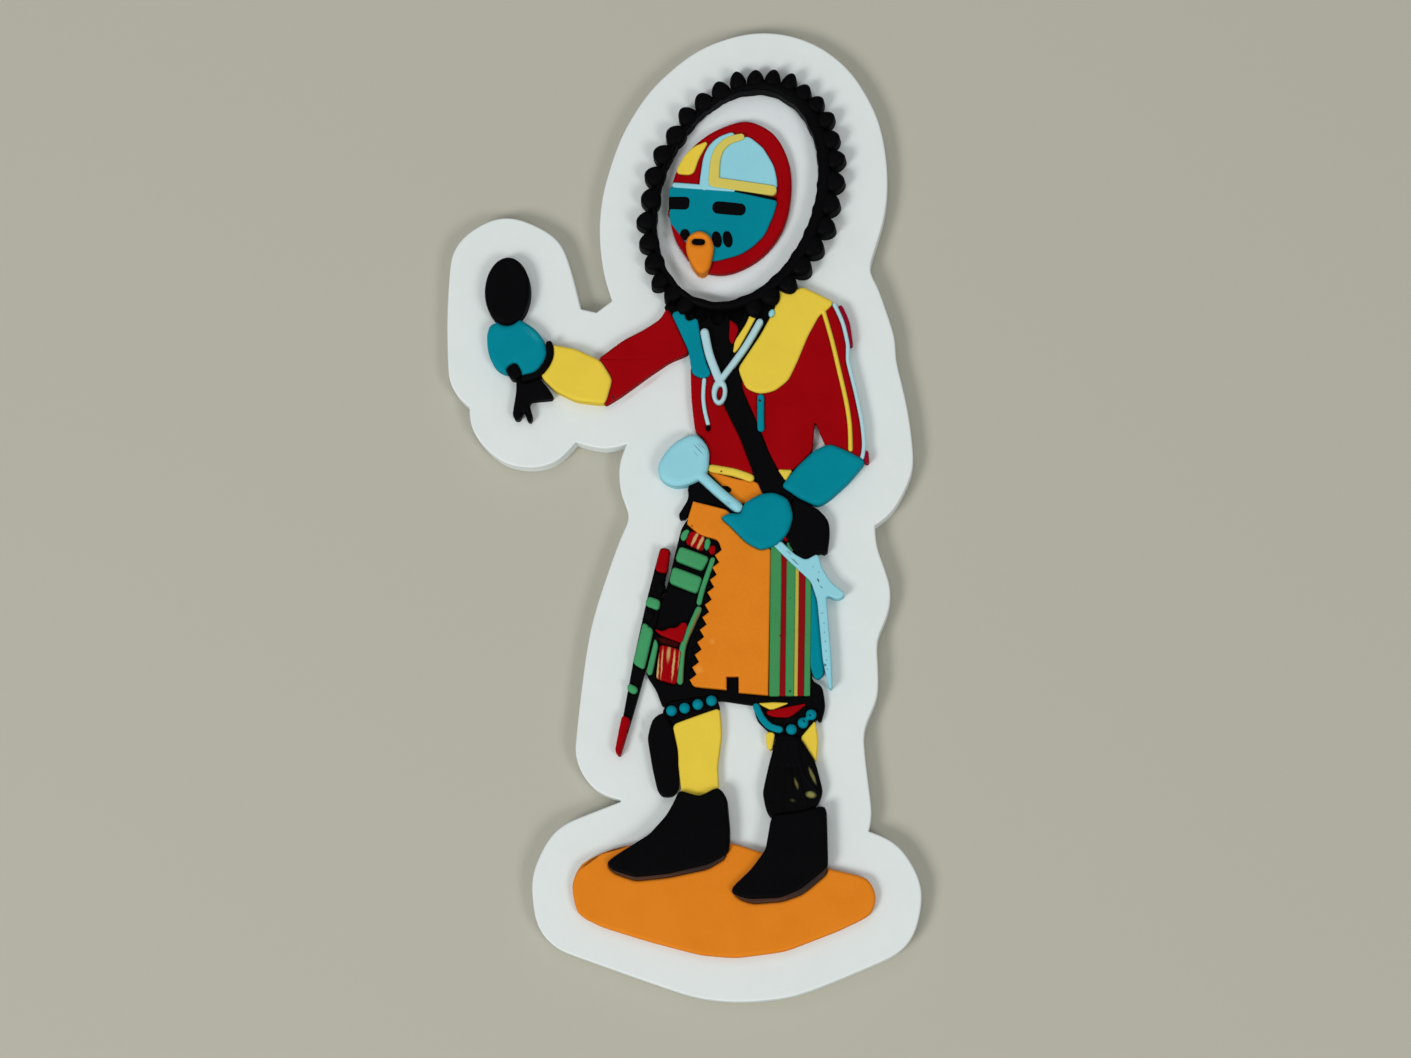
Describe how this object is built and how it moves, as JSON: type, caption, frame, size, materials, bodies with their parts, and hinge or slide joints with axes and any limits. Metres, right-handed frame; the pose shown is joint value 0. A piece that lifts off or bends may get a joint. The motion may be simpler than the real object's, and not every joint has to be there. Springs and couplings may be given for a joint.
{
  "type": "moulded soft pvc souvenir relief of a kachina doll",
  "caption": "Flat soft PVC souvenir: a kachina doll in low coloured relief, with feather ruff, rattle and kilt, on a white backing that follows its outline.",
  "frame": {"origin": "centre of the bounding box, on the flat back", "axes": "+X across the figure to the right as it is looked at, +Y up the figure from the base to the feathers, +Z out of the relief"},
  "size_m": [0.0476, 0.0996, 0.004],
  "materials": {
    "pvc_white": "matte moulded soft PVC, white backing",
    "pvc_black": "satin moulded soft PVC, black",
    "pvc_red": "matte moulded soft PVC, red",
    "pvc_crimson": "matte moulded soft PVC, dark red",
    "pvc_yellow": "matte moulded soft PVC, yellow",
    "pvc_teal": "matte moulded soft PVC, teal",
    "pvc_sky": "matte moulded soft PVC, pale blue",
    "pvc_orange": "matte moulded soft PVC, orange",
    "pvc_green": "matte moulded soft PVC, green",
    "pvc_brown": "matte moulded soft PVC, brown"
  },
  "bodies": {
    "root": {"kachina_relief": "pvc_white"}
  },
  "joints": []
}
